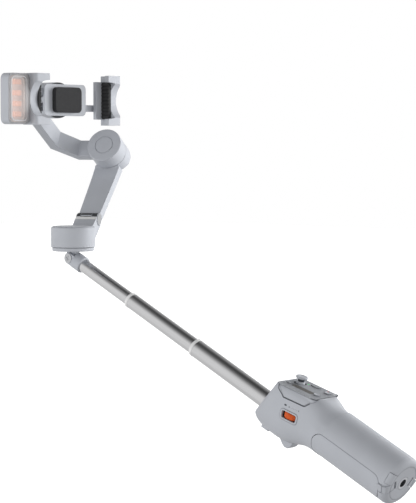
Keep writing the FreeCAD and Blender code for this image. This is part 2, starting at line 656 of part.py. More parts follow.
tube("tube_large", "tube_large_radius", "large_top", "entry_reach + tube_overlap")
tube("tube_mid", "tube_mid_radius", "mid_top", "large_top + tube_overlap")
tube("tube_small", "tube_small_radius", "small_top", "mid_top + tube_overlap")
collar("collar_large", "tube_large_radius", "tube_mid_radius", "large_top", "tube_large_radius + 0.15")
collar("collar_mid", "tube_mid_radius", "tube_small_radius", "mid_top", "tube_mid_radius + 0.15")
slider("slider_mid", "tube_mid_radius", "tube_large_radius", "large_top + tube_overlap")
slider("slider_small", "tube_small_radius", "tube_mid_radius", "mid_top + tube_overlap")


FORK_CROTCH = 4.9


def rod_fork_shape():
    """The fork on the small tube that carries the gimbal head's hinge."""
    rim = FORK_CROTCH + S.socket_length
    ring = Part.makeCylinder(S.socket_radius, S.socket_length, Vector(0, 0, FORK_CROTCH))
    ring = soften(ring, 1.0, lambda e: abs(e.BoundBox.ZMin - rim) < 1e-3 and e.BoundBox.ZLength < 1e-3)
    lugs = Part.makeCylinder(S.lug_radius, 2 * S.lug_outer, Vector(0, -S.lug_outer, 0), Y)
    lugs = lugs.fuse(slab(-S.lug_radius, S.lug_radius, -S.lug_outer, S.lug_outer, 0, 6))
    fork = ring.fuse(lugs.cut(slab(-9, 9, -S.lug_inner, S.lug_inner, -9, FORK_CROTCH)))
    fork = fork.cut(Part.makeCylinder(S.tube_small_radius, 9, Vector(0, 0, S.small_top)))
    return fork.cut(Part.makeCylinder(S.hinge_pin_radius, 20, Vector(0, -10, 0), Y)).removeSplitter()


feature("rod_fork", rod_fork_shape(), ROD)


def hinge_pin_shape():
    pin = Part.makeCylinder(S.hinge_pin_radius, 2 * S.lug_outer, Vector(0, -S.lug_outer, 0), Y)
    for sign in (-1, 1):
        head = Part.makeCylinder(4.05, 0.7, Vector(0, sign * S.lug_outer, 0), Y * sign)
        cross = slab(-2.2, 2.2, -9, 9, -0.45, 0.45).fuse(slab(-0.45, 0.45, -9, 9, -2.2, 2.2))
        cross = cross.cut(slab(-9, 9, -S.lug_outer - 0.25, S.lug_outer + 0.25, -9, 9))
        pin = pin.fuse(head.cut(cross))
    return pin


feature("rod_hinge_pin", hinge_pin_shape(), ROD)

# --- Pan motor -----------------------------------------------------------------------


PAN_GAP = 0.4
TONGUE_RADIUS = 4.3


def pan_base_shape():
    disc = Part.makeCylinder(S.pan_radius - 1.0, S.pan_base_height - PAN_GAP,
                             Vector(0, 0, S.pan_bottom))
    disc = soften(disc, 0.9, lambda e: abs(e.BoundBox.ZMax - S.pan_bottom) < 1e-3)
    half = S.lug_inner - S.sliding_gap
    tongue = Part.makeCylinder(TONGUE_RADIUS, 2 * half, Vector(0, -half, 0), Y)
    tongue = tongue.fuse(slab(-TONGUE_RADIUS, TONGUE_RADIUS, -half, half, 0, S.pan_bottom))
    base = disc.fuse(tongue)
    base = base.cut(Part.makeCylinder(S.hinge_pin_radius + 0.05, 20, Vector(0, -10, 0), Y))
    return base.removeSplitter()


feature("pan_base", pan_base_shape(), HEAD)
PAN_FLOOR = f"pan_bottom + pan_base_height - {PAN_GAP}"
keep("pan_shaft", cylinder("2.5", "13.5", ("0", "0", PAN_FLOOR)), HEAD)
turned("pan_stator", [("2.5", f"{PAN_FLOOR} + 0.8"), ("10.6", f"{PAN_FLOOR} + 0.8"),
                      ("10.6", f"{PAN_FLOOR} + 9.5"),
                      ("2.5", f"{PAN_FLOOR} + 9.5")], HEAD)
turned("pan_bearing", [("2.55", "20.2"), ("6.0", "20.2"), ("6.0", "23.2"), ("2.55", "23.2")], ARM)


def extruded(points, half_width):
    """A side outline in the YZ plane padded both ways along X."""
    return prism([Vector(-half_width, y, z) for y, z in points], X * (2 * half_width))


KNUCKLE_FROM, KNUCKLE_TO = -5.8, 4.0


def barrel(radius, start, end):
    return Part.makeCylinder(radius, end - start, Vector(start, S.arm_hinge_y, S.arm_hinge_z), X)


def pan_housing_shape():
    bottom = S.pan_bottom + S.pan_base_height
    cup = Part.makeCylinder(S.pan_radius, S.pan_top - 0.5 - bottom, Vector(0, 0, bottom))
    cup = soften(cup, 1.2, lambda e: abs(e.BoundBox.ZMin - S.pan_top + 0.5) < 1e-3)
    outline = [(12, 11), (21.5, 11), (27.2, 15.8), (38.4, 25.6), (31.0, 34.4),
               (20.4, S.pan_top - 0.6), (12, S.pan_top - 0.6)]
    shape = cup.fuse(extruded(outline, S.arm_half_width))
    shape = shape.cut([barrel(S.arm_barrel_radius + 0.3, -20, KNUCKLE_FROM),
                       barrel(S.arm_barrel_radius + 0.3, KNUCKLE_TO, 20)])
    shape = shape.fuse(barrel(S.arm_barrel_radius, KNUCKLE_FROM, KNUCKLE_TO))
    shape = shape.cut(barrel(S.arm_pin_radius + 0.05, -20, 20))
    shape = shape.cut(Part.makeCylinder(S.pan_radius - 1.8, 10.9, Vector(0, 0, bottom - 0.1)))
    return shape.cut(Part.makeCylinder(6.0, 4.0, Vector(0, 0, 19.2))).removeSplitter()


feature("pan_housing", pan_housing_shape(), ARM)
turned("pan_cap", [("0", "pan_top - 0.5"), ("pan_radius - 1.3", "pan_top - 0.5"),
                   ("pan_radius - 1.3", "pan_top"),
                   ("0", "pan_top")], ARM)

# --- Folding arm and tilt motor ------------------------------------------------------


def slope_point(reach, offset):
    """A point of the arm's lower half, by its reach along the slope and its offset behind it."""
    angle = math.radians(S.arm_slope)
    cos, sin = math.cos(angle), math.sin(angle)
    return (reach * cos + offset * sin, reach * sin - offset * cos)


LEAN = math.radians(S.tilt_lean)


def axis_point(out, up):
    """A point beside the tilt motor's axis, by its distance from the clamp and its height over the axis."""
    cos, sin = math.cos(LEAN), math.sin(LEAN)
    return (out * cos + up * sin, S.clamp_height - out * sin + up * cos)


STATOR_FACE = S.tilt_face + S.tilt_length
ARM_BACK = S.tilt_face + S.tilt_back
TILT_LOCAL = Placement(Vector(0, 0, S.clamp_height), Rotation(X, 90 - S.tilt_lean))


def upper_arm_shape():
    slope = math.radians(S.arm_slope)
    hinge_reach = S.arm_hinge_y * math.cos(slope) + S.arm_hinge_z * math.sin(slope)
    side = [slope_point(hinge_reach, -S.arm_front_offset), slope_point(94, -S.arm_front_offset),
            axis_point(STATOR_FACE, -S.tilt_radius - 0.2), axis_point(STATOR_FACE, S.tilt_radius + 2),
            axis_point(ARM_BACK, S.tilt_radius + 2), axis_point(ARM_BACK, -5),
            slope_point(hinge_reach, S.arm_back_offset)]
    low_end, wide = -90, S.arm_half_width + 1.8
    outline = [Vector(-S.arm_half_width, low_end, 0), Vector(S.arm_half_width, low_end, 0),
               Vector(S.arm_half_width, -72, 0), Vector(wide, -13, 0), Vector(0, 0, 0),
               Vector(-wide, -13, 0),
               Vector(-S.arm_half_width, -72, 0)]
    front = prism(outline, Vector(0, 0, 120))
    front = front.fuse(Part.makeCylinder(S.tilt_radius, 120))
    front.translate(Vector(0, 0, -130))
    arm = extruded(side, 20).common(moved(front, TILT_LOCAL))
    arm = arm.cut(barrel(S.arm_barrel_radius + 0.3, KNUCKLE_FROM - 0.2, KNUCKLE_TO + 0.2))
    arm = arm.fuse([barrel(S.arm_barrel_radius, -S.arm_half_width, KNUCKLE_FROM - 0.2),
                    barrel(S.arm_barrel_radius, KNUCKLE_TO + 0.2, S.arm_half_width)])
    arm = arm.cut(barrel(S.arm_pin_radius, -20, 20))
    for start in (S.arm_half_width, -S.arm_half_width - 4):
        arm = arm.cut(barrel(S.arm_barrel_radius - 0.4, start, start + 4))
    well = Part.makeCylinder(S.tilt_radius - 1.6, 10.4, Vector(0, 0, -STATOR_FACE - 10.3))
    arm = arm.cut(moved(well, TILT_LOCAL))
    return largest(arm.removeSplitter())


feature("upper_arm", upper_arm_shape(), ARM)
hinge_pin = barrel(S.arm_pin_radius, -S.arm_half_width, S.arm_half_width)
hinge_caps = [barrel(S.arm_barrel_radius - 0.5, S.arm_half_width, S.arm_half_width + 0.6),
              barrel(S.arm_barrel_radius - 0.5, -S.arm_half_width - 0.6, -S.arm_half_width)]
feature("arm_hinge_pin", hinge_pin.fuse(hinge_caps).removeSplitter(), ARM)
turned("tilt_stator", [("2.6", "-tilt_face - tilt_length - 9.4"),
                       ("11.4", "-tilt_face - tilt_length - 9.4"),
                       ("11.4", "-tilt_face - 7.7"), ("2.6", "-tilt_face - 7.7")], TILT)
turned("tilt_cover", [("0", "-tilt_face - tilt_back - 0.6"), ("12.2", "-tilt_face - tilt_back - 0.6"),
                      ("12.8", "-tilt_face - tilt_back"), ("0", "-tilt_face - tilt_back")], TILT)

# --- Link arm and roll motor ---------------------------------------------------------


def tilt_rotor_shape():
    """The rotor's cup with its shaft, and a ring groove in its face."""
    cup = Part.makeCylinder(S.tilt_radius, S.tilt_length - 0.4, Vector(0, 0, -STATOR_FACE + 0.4))
    cup = soften(cup, 0.5, lambda e: abs(e.BoundBox.ZMin + S.tilt_face) < 1e-3)
    cup = cup.cut(Part.makeCylinder(S.tilt_radius - 2, 10, Vector(0, 0, -STATOR_FACE - 1)))
    cup = cup.fuse(Part.makeCylinder(2.5, 18, Vector(0, 0, -STATOR_FACE - 8)))
    ring = Part.makeCylinder(8.2, 2, Vector(0, 0, -S.tilt_face - 0.5))
    return cup.cut(ring.cut(Part.makeCylinder(7.6, 2,
                                              Vector(0, 0, -S.tilt_face - 0.5)))).removeSplitter()


feature("tilt_rotor", tilt_rotor_shape(), TILT)


LINK_HALF_WIDTH = 7.5


def link_arm_shape():
    """A flat bent bar from the tilt rotor's side to the ring that holds the roll motor."""
    outline = [(-13.4, -STATOR_FACE + 1.0), (-27, -STATOR_FACE + 1.0), (-46, -72), (-46, -24),
               (-38, -14), (-32, -20),
               (-38.5, -30), (-38.5, -69), (-25, -STATOR_FACE + 8.5), (-13.4, -STATOR_FACE + 8.5)]
    bar = prism([Vector(x, -LINK_HALF_WIDTH, z) for x, z in outline], Vector(0, 2 * LINK_HALF_WIDTH, 0))
    bar = bar.cut(Part.makeCylinder(S.tilt_radius, 40, Vector(0, 0, -STATOR_FACE - 2)))
    to_clamp = TILT.inverse() * CLAMP
    back = -S.roll_front - S.roll_length
    shell = Part.makeCylinder(S.roll_radius, S.roll_length, Vector(back, 0, 0), X)
    shell = soften(shell, 1.5, lambda e: abs(e.BoundBox.XMax - back) < 1e-3)
    well = Part.makeCylinder(S.roll_radius - 1.8, S.roll_length - 2, Vector(back + 2, 0, 0), X)
    return bar.fuse(moved(shell, to_clamp)).cut(moved(well, to_clamp)).removeSplitter()


feature("link_arm", link_arm_shape(), TILT)
ROLL_AXIS = CLAMP * Placement(Vector(), Rotation(Y, -90))
turned("roll_stator", [("2.6", "roll_front + 6"), ("11", "roll_front + 6"),
                       ("11", "roll_front + roll_length - 2"),
                       ("2.6", "roll_front + roll_length - 2")], ROLL_AXIS)
turned("roll_rotor", [
    ("0", "roll_front - 2.4"), ("roll_radius - 0.2", "roll_front - 2.4"),
    ("roll_radius - 0.2", "roll_front - 0.3"),
    ("12.8", "roll_front - 0.3"), ("12.8", "roll_front + 14"), ("11.4", "roll_front + 14"),
    ("11.4", "roll_front + 2"),
    ("2.5", "roll_front + 2"), ("2.5", "roll_front + 15"), ("0", "roll_front + 15")], ROLL_AXIS)

# --- Clamp ---------------------------------------------------------------------------


# The clamp's frame holds both racks side by side between two walls; X runs towards the phone
FRAME_BACK, FRAME_FRONT = -16.0, -8.4
RAIL_BACK, RAIL_FRONT, RAIL_EDGE, RAIL_FAR = -14.0, -10.4, 3.7, 9.2
RAIL_GAP = 0.1


def clamp_frame_shape():
    block = round_slab(FRAME_BACK, FRAME_FRONT, -24, 24, -13, 13, 4.0, X)
    block = soften(block, 0.8, lambda e: (abs(e.BoundBox.XMin - FRAME_BACK) < 1e-3
                                          and e.BoundBox.XLength < 1e-3))
    low, high = RAIL_BACK - RAIL_GAP, RAIL_FRONT + RAIL_GAP
    inner, outer = RAIL_EDGE - 1.3, RAIL_FAR + RAIL_GAP
    channels = [slab(low, high, -30, 30, inner, outer), slab(low, high, -30, 30, -outer, -inner)]
    pocket = Part.makeCylinder(4.0, high - low, Vector(low, 0, 0), X)
    return block.cut(channels + [pocket])


feature("clamp_frame", clamp_frame_shape(), CLAMP)
feature("clamp_pad", round_slab(FRAME_FRONT, FRAME_FRONT + 4.2, -15, 15, -10.5, 10.5, 4.0, X), CLAMP)

PINION_TEETH = 12
PINION_BACK, PINION_FRONT = -13.8, -10.6


def gear_shape():
    """The pinion between the two racks, with straight-sided teeth."""
    root, tip = S.pinion_radius - 0.55, S.pinion_radius + 0.5
    points = []
    for tooth in range(PINION_TEETH):
        start = 2 * math.pi * tooth / PINION_TEETH
        for radius, turn in ((root, -0.24), (tip, -0.1), (tip, 0.1), (root, 0.24)):
            points.append(Vector(PINION_BACK, radius * math.cos(start + turn),
                                 radius * math.sin(start + turn)))
    return prism(points, X * (PINION_FRONT - PINION_BACK))


feature("jaw_pinion", gear_shape(), CLAMP)


def rack_teeth():
    """Teeth under the left jaw's rail, spaced to the pinion's pitch."""
    teeth = []
    pitch = 2 * math.pi * S.pinion_radius / PINION_TEETH
    for index in range(-6, 7):
        y = pitch * (index + 0.5)
        points = [(-0.5, 0), (-0.15, -1.0), (0.15, -1.0), (0.5, 0), (0.5, 0.4), (-0.5, 0.4)]
        corners = [Vector(PINION_BACK + 0.2, y + across, RAIL_EDGE + up) for across, up in points]
        teeth.append(prism(corners, Vector(2.8, 0, 0)))
    return teeth


def left_jaw_shape():
    """A side wall with two fingers over the phone, a lip behind it and a sliding rack."""
    half = S.jaw_height / 2
    outer, inner = -S.jaw_wall_outer, -S.jaw_wall_inner
    wall = slab(-S.jaw_back, S.jaw_front, outer, inner, -half, half)
    hook = slab(S.jaw_front - S.finger_thickness, S.jaw_front, inner, -S.finger_reach, -half, half)
    jaw = wall.fuse(hook).removeSplitter()
    jaw = soften(jaw, 3.2, lambda e: along(Z)(e) and abs(e.BoundBox.YMin - outer) < 1e-3)
    waist = Part.makeCylinder(S.waist_cut_radius, 80, Vector(S.waist_cut_x, -70, 0), Y)
    ellipse = Part.Ellipse(Vector(), 21.7, 15.4).toShape()
    mouth = Part.Face(Part.Wire(ellipse)).extrude(Vector(0, 0, 30))
    mouth.Placement = Placement(Vector(2.4, 0.5 - S.finger_reach, 0), Rotation(Y, Z, X, "ZXY"))
    between_fingers = mouth.common(slab(-30, 40, inner, 0, -40, 40))
    jaw = jaw.cut([waist, between_fingers])
    lip = slab(-S.jaw_back, -S.jaw_back + 3.4, inner, -33, -half + 5, half - 5)
    rail = slab(RAIL_BACK, RAIL_FRONT, -44, 10.5, RAIL_EDGE, RAIL_FAR)
    web = slab(RAIL_BACK, -S.jaw_back, -47.5, -42.2, RAIL_EDGE, RAIL_FAR)
    return jaw.fuse([lip, rail, web] + rack_teeth()).removeSplitter()


left_jaw = left_jaw_shape()
TURN_OVER = CLAMP * Placement(Vector(), Rotation(X, 180))
feature("left_jaw", left_jaw, CLAMP)
feature("right_jaw", left_jaw, TURN_OVER)


def jaw_pad_shape():
    """A rubber pad with grooves across it, every rib the same."""
    face, rib_pitch, groove = -S.phone_half_width - 0.1, 3.0, 1.0
    pad = round_slab(-4.6, 3.6, -S.jaw_wall_inner, face, -15.5, 15.5, 2.0, Y)
    places = [rib_pitch * index for index in range(-4, 5)]
    return pad.cut([slab(-5, 4, face - 0.6, face + 1, z - groove / 2, z + groove / 2) for z in places])


feature("left_jaw_pad", jaw_pad_shape(), CLAMP)
feature("right_jaw_pad", jaw_pad_shape(), TURN_OVER)

# --- Clip-on light -------------------------------------------------------------------

LIGHT_INNER = -S.jaw_wall_outer - 0.1
LIGHT_OUTER = LIGHT_INNER - S.light_width
LIGHT_WALL = 1.4
DIODE_SIZE = 2.6
DIODE_ROWS = (-12.4, -4.0, 4.6, 13.5)
DIODE_COLUMNS = (-66.8, -60.4)


def light_outline(inset, back, front, radius):
    half = S.light_height / 2
    left, right = LIGHT_OUTER + inset, LIGHT_INNER - inset
    return round_slab(back, front, left, right, inset - half, half - inset, radius, X)


def light_board_shape():
    """The board behind the cover, with two columns of square diodes on its face."""
    face = -2.8
    board = light_outline(LIGHT_WALL + 0.4, face - 1.2, face, 3.4)
    diodes = []
    for z in DIODE_ROWS:
        for y in DIODE_COLUMNS:
            diodes.append(slab(face, face + 0.8, y, y + DIODE_SIZE, z - DIODE_SIZE / 2,
                               z + DIODE_SIZE / 2))
    return board.fuse(diodes).removeSplitter()


casing = light_outline(0, -S.light_back, S.light_front - LIGHT_WALL, 5.0)
casing = casing.cut(light_outline(LIGHT_WALL, 1.6 - S.light_back, S.light_front, 3.8))
feature("light_casing", casing, CLAMP)
feature("light_cover", light_outline(0, S.light_front - LIGHT_WALL, S.light_front, 5.0), CLAMP)
feature("light_board", light_board_shape(), CLAMP)

# --- Export --------------------------------------------------------------------------

doc.recompute()
for thing in doc.Objects:
    if {"Invalid", "Error"} & set(thing.State):
        raise RuntimeError(f"{thing.Label} failed: {thing.State}")
os.makedirs("parts", exist_ok=True)
for thing in nodes:
    if thing.Shape.isNull() or not thing.Shape.isValid() or not thing.Shape.Solids:
        raise RuntimeError(f"{thing.Label} has no valid solid")
for thing in nodes:
    thing.Shape.exportStep(f"parts/{thing.Label}.step")
print(len(nodes), "nodes written")
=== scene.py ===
import bmesh
import bpy
import json
import math
from mathutils import Matrix, Vector


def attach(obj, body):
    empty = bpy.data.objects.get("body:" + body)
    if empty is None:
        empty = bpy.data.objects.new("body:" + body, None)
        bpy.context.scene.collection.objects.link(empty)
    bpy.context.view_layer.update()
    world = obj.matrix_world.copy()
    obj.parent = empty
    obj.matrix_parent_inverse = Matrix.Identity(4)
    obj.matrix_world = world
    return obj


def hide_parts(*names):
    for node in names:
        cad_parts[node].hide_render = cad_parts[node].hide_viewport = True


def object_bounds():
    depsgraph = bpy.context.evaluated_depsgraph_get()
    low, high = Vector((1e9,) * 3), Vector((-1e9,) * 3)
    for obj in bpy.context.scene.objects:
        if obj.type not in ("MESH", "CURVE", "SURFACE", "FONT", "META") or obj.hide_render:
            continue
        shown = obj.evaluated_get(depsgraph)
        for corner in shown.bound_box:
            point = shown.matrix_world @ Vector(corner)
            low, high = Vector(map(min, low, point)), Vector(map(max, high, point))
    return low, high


# Looks for the phone gimbal. The scene is in metres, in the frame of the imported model. The
# pieces' own shapes are in millimetres, in the local frames named below.

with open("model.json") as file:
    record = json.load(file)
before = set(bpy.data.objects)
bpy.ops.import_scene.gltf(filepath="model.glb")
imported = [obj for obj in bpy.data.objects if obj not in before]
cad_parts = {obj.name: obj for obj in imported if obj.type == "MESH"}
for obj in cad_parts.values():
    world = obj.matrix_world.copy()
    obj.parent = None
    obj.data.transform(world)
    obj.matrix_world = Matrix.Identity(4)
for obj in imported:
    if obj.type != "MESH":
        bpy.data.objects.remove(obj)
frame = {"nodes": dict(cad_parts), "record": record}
cad_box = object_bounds()
nodes = frame["nodes"]
MM = 0.001
ROD_SLOPE = math.radians(25.666)
SHARP_ANGLE = math.radians(32)

# --- Camera --------------------------------------------------------------------------

CAMERA_AZIMUTH, CAMERA_PITCH = math.radians(40.877), math.radians(3.31)
CAMERA_PLACE = Vector((0.74361, -1.07265, 0.24156))
FOCAL_LENGTH, SENSOR_WIDTH = 130.73, 36.0


def turn_to(thing, direction):
    """Turns a camera or a lamp so that it looks along a direction."""
    thing.rotation_mode = "QUATERNION"
    thing.rotation_quaternion = direction.to_track_quat("-Z", "Y")


def set_camera():
    """Stands the camera where the photo was taken from."""
    data = bpy.data.cameras.new("camera")
    data.lens, data.sensor_width = FOCAL_LENGTH, SENSOR_WIDTH
    data.clip_start, data.clip_end = 0.05, 20.0
    camera = bpy.data.objects.new("camera", data)
    bpy.context.scene.collection.objects.link(camera)
    camera.location = CAMERA_PLACE
    turn_to(camera, -Vector((math.sin(CAMERA_AZIMUTH) * math.cos(CAMERA_PITCH),
                             -math.cos(CAMERA_AZIMUTH) * math.cos(CAMERA_PITCH), math.sin(CAMERA_PITCH))))
    bpy.context.scene.camera = camera


set_camera()

# --- Materials -----------------------------------------------------------------------


class Paint:
    """A material's nodes, with short calls for the few kinds used here."""

    def __init__(self, name):
        self.material = bpy.data.materials.new(name)
        self.material.use_nodes = True
        self.tree = self.material.node_tree
        self.shader = self.tree.nodes["Principled BSDF"]
        self.place = self.add("ShaderNodeTexCoord").outputs["Object"]

    def add(self, kind, **settings):
        node = self.tree.nodes.new(kind)
        for key, value in settings.items():
            setattr(node, key, value)
        return node

    def join(self, source, target):
        self.tree.links.new(source, target)

    def noise(self, scale, detail=2.0, stretch=None):
        """A cloudy value, drawn out along an axis where stretch gives a rotation and factors."""
        node = self.add("ShaderNodeTexNoise")
        node.inputs["Scale"].default_value = scale
        node.inputs["Detail"].default_value = detail
        place = self.place
        if stretch:
            mapping = self.add("ShaderNodeMapping", vector_type="TEXTURE")
            mapping.inputs["Rotation"].default_value, mapping.inputs["Scale"].default_value = stretch
            self.join(place, mapping.inputs["Vector"])
            place = mapping.outputs["Vector"]
        self.join(place, node.inputs["Vector"])
        return node.outputs["Fac"]

    def spread(self, noise, low, high):
        """Takes the middle of a noise, where nearly all its values lie, to a range."""
        node = self.add("ShaderNodeMapRange")
        for key, number in (("From Min", 0.3), ("From Max", 0.7), ("To Min", low), ("To Max", high)):
            node.inputs[key].default_value = number
        self.join(noise, node.inputs["Value"])
        return node.outputs["Result"]

    def tint(self, value, low, high):
        """Mixes two colours by a value and feeds the base colour."""
        node = self.add("ShaderNodeMix", data_type="RGBA")
        factor, first, second = node.inputs[0], node.inputs[6], node.inputs[7]
        first.default_value = (*low, 1)
        second.default_value = (*high, 1)
        self.join(value, factor)
        self.join(node.outputs[2], self.shader.inputs["Base Color"])

    def bump(self, value, depth, edge=0.0):
        """Feeds the shader a relief, over edges that are rounded by a small radius."""
        node = self.add("ShaderNodeBump")
        node.inputs["Strength"].default_value = 1.0
        node.inputs["Distance"].default_value = depth
        self.join(value, node.inputs["Height"])
        if edge:
            rounding = self.add("ShaderNodeBevel", samples=6)
            rounding.inputs["Radius"].default_value = edge
            self.join(rounding.outputs["Normal"], node.inputs["Normal"])
        self.join(node.outputs["Normal"], self.shader.inputs["Normal"])


def shade(colour, amount):
    return tuple(max(0.0, min(1.0, c * amount)) for c in colour)


def plastic(name, colour, rough=0.42, grain=0.00002, grain_scale=2600.0, edge=0.0005, gloss=0.5):
    """Moulded plastic: a fine grain, slight mottling and uneven gloss."""
    paint = Paint(name)
    mottle = paint.noise(45.0, 3.0)
    paint.tint(paint.spread(mottle, 0, 1), shade(colour, 0.97), shade(colour, 1.03))
    sheen = paint.noise(400.0)
    paint.join(paint.spread(sheen, rough - 0.04, rough + 0.05), paint.shader.inputs["Roughness"])
    paint.bump(paint.noise(grain_scale, 3.0), grain, edge)
    paint.shader.inputs["Specular IOR Level"].default_value = gloss
    return paint.material


def metal(name, colour, rough, turn=(0, 0, 0), draw=(1, 1, 1)):
    """Metal with fine lines, drawn out along an axis by the factors in draw."""
    scratch_depth = 0.0000006
    paint = Paint(name)
    lines = paint.noise(900.0, 4.0, (turn, draw))
    paint.tint(paint.spread(lines, 0, 1), shade(colour, 0.97), shade(colour, 1.02))
    paint.join(paint.spread(lines, rough * 0.92, rough * 1.08), paint.shader.inputs["Roughness"])
    paint.bump(lines, scratch_depth)
    paint.shader.inputs["Metallic"].default_value = 1.0
    return paint.material


def lamp_lens(name, colour, glow):
    """A small lit lens, whose colour and gloss are uneven."""
    paint = Paint(name)
    cloud = paint.noise(900.0)
    paint.tint(paint.spread(cloud, 0, 1), shade(colour, 0.9), colour)
    paint.shader.inputs["Emission Color"].default_value = (*colour, 1)
    paint.shader.inputs["Emission Strength"].default_value = glow
    paint.join(paint.spread(cloud, 0.25, 0.4), paint.shader.inputs["Roughness"])
    return paint.material


# The materials of the record's slots
paints = {
    "grey_plastic": plastic("grey_plastic", (0.465, 0.483, 0.522)),
    "remote_grey": plastic("remote_grey", (0.29, 0.302, 0.325), 0.45, edge=0.00015, gloss=0.25),
    "chrome_tube": metal("chrome_tube", (0.74, 0.74, 0.75), 0.24, (0, ROD_SLOPE, 0), (60, 1, 1)),
    "white_plastic": plastic("white_plastic", (0.80, 0.80, 0.80), 0.38),
    "steel": metal("steel", (0.62, 0.63, 0.65), 0.3),
    "dark_plastic": plastic("dark_plastic", (0.045, 0.047, 0.052), 0.4),
    "black_rubber": plastic("black_rubber", (0.022, 0.022, 0.024), 0.62, 0.00004, 1800.0),
    "orange_plastic": plastic("orange_plastic", (0.74, 0.115, 0.012), 0.4),
    "copper_winding": metal("copper_winding", (0.72, 0.36, 0.2), 0.35),
    "battery_wrap": plastic("battery_wrap", (0.05, 0.16, 0.42), 0.3),
    "circuit_board": plastic("circuit_board", (0.02, 0.14, 0.07), 0.35),
    "led_lens": plastic("led_lens", (0.25, 0.75, 0.3), 0.25),
    "led_board": plastic("led_board", (0.80, 0.62, 0.56), 0.45),
    "clear_cover": plastic("clear_cover", (0.86, 0.83, 0.82), 0.12, 0.0),
}
COVER_OPACITY = 0.28
paints["clear_cover"].node_tree.nodes["Principled BSDF"].inputs["Alpha"].default_value = COVER_OPACITY

# Further materials, for the small pieces added here
GREEN_LENS = lamp_lens("green_lens", (0.05, 0.62, 0.12), 0.5)
RED_LENS = lamp_lens("red_lens", (0.75, 0.10, 0.05), 0.5)
WHITE_LENS = lamp_lens("white_lens", (0.85, 0.85, 0.85), 0.3)
DIODE = lamp_lens("diode", (0.88, 0.42, 0.27), 0.22)
STRIP = plastic("display_strip", (0.13, 0.125, 0.12), 0.5, edge=0.0, gloss=0.1)
PALE_GREY = plastic("pale_ring", (0.58, 0.595, 0.63), 0.4, edge=0.0)
SEAM_GREY = plastic("seam_grey", (0.20, 0.21, 0.23), 0.6, edge=0.0, gloss=0.1)
# Dark print and seam lines. The same dark is also painted shade in the joystick's hole, on its neck under
# the cap and in the remote's rear gap.
PRINT_AND_SHADE = plastic("dark_print_and_shade", (0.075, 0.08, 0.09), 0.6, edge=0.0, gloss=0.1)

slot_of = {row["node"]: row["material_slot"] for row in frame["record"]["subparts"]}
for name, thing in nodes.items():
    thing.data.materials.clear()
    thing.data.materials.append(paints[slot_of[name]])
    for face in thing.data.polygons:
        face.use_smooth = True
    thing.data.set_sharp_from_angle(angle=SHARP_ANGLE)

# --- Floor and light -----------------------------------------------------------------

FLOOR_HALF, FLOOR_DROP = 8.0, 0.25
GRIP_MIDDLE, ARM_MIDDLE = Vector((-0.06, 0, 0.02)), Vector((-0.32, 0.02, 0.22))

# Brightness of the studio from straight down (0) over the horizon (0.5) to straight up (1)
STUDIO = [(0.0, 0.28), (0.10, 0.42), (0.18, 0.58), (0.36, 0.80), (0.70, 0.80), (0.80, 0.62), (0.885, 0.34),
          (0.953, 0.16), (0.99, 0.07), (1.0, 0.03)]


def floor():
    """A pale glowing floor well below the held object."""
    mesh = bpy.data.meshes.new("floor")
    corners = [(x * FLOOR_HALF, y * FLOOR_HALF, 0) for x, y in ((-1, -1), (1, -1), (1, 1), (-1, 1))]
    mesh.from_pydata(corners, [], [(0, 1, 2, 3)])
    thing = bpy.data.objects.new("floor", mesh)
    thing.location = (0, 0, cad_box[0].z - FLOOR_DROP)
    bpy.context.scene.collection.objects.link(thing)
    paint = Paint("floor_white")
    paint.tint(paint.noise(3.0), (0.90, 0.90, 0.90), (0.93, 0.93, 0.93))
    paint.shader.inputs["Roughness"].default_value = 0.9
    paint.shader.inputs["Emission Color"].default_value = (1, 1, 1, 1)
    paint.shader.inputs["Emission Strength"].default_value = 1.0
    mesh.materials.append(paint.material)
    thing.visible_diffuse = False
    thing.visible_glossy = False


def surround():
    """A white studio: the camera sees plain white, and the object is lit as STUDIO says."""
    world = bpy.data.worlds.new("surround")
    bpy.context.scene.world = world
    world.use_nodes = True
    tree = world.node_tree
    axes = tree.nodes.new("ShaderNodeSeparateXYZ")
    tree.links.new(tree.nodes.new("ShaderNodeTexCoord").outputs["Generated"], axes.inputs[0])
    height = tree.nodes.new("ShaderNodeMapRange")
    height.inputs["From Min"].default_value = -1.0
    tree.links.new(axes.outputs["Z"], height.inputs["Value"])
    fade = tree.nodes.new("ShaderNodeValToRGB")
    fade.color_ramp.interpolation = "LINEAR"
    for position, _ in STUDIO[2:]:
        fade.color_ramp.elements.new(position)
    for element, (position, level) in zip(fade.color_ramp.elements, STUDIO):
        element.position = position
        element.color = (level, level, level, 1)
    tree.links.new(height.outputs["Result"], fade.inputs[0])
    lit, seen = tree.nodes["Background"], tree.nodes.new("ShaderNodeBackground")
    seen.inputs["Color"].default_value = (1, 1, 1, 1)
    tree.links.new(fade.outputs[0], lit.inputs["Color"])
    choose = tree.nodes.new("ShaderNodeMixShader")
    tree.links.new(tree.nodes.new("ShaderNodeLightPath").outputs["Is Camera Ray"], choose.inputs[0])
    tree.links.new(lit.outputs[0], choose.inputs[1])
    tree.links.new(seen.outputs[0], choose.inputs[2])
    tree.links.new(choose.outputs[0], tree.nodes["World Output"].inputs["Surface"])


def soft_box(name, target, place, size, power):
    """A square light at a place relative to its target, turned to it and not mirrored by anything."""
    data = bpy.data.lights.new(name, "AREA")
    data.shape, data.size, data.energy = "SQUARE", size, power
    lamp = bpy.data.objects.new(name, data)
    lamp.visible_glossy = False
    lamp.location = target + Vector(place)
    turn_to(lamp, target - lamp.location)
    bpy.context.scene.collection.objects.link(lamp)


floor()
surround()
soft_box("front_left", GRIP_MIDDLE, (-0.7, -1.3, -0.15), 0.8, 9.0)
soft_box("arm_right", ARM_MIDDLE, (0.34, 0.46, 0.05), 0.4, 3.0)
soft_box("far_right", GRIP_MIDDLE, (0.6, 1.1, 0.5), 0.6, 3.0)
bpy.context.scene.view_settings.view_transform = "Standard"

# --- Local frames --------------------------------------------------------------------


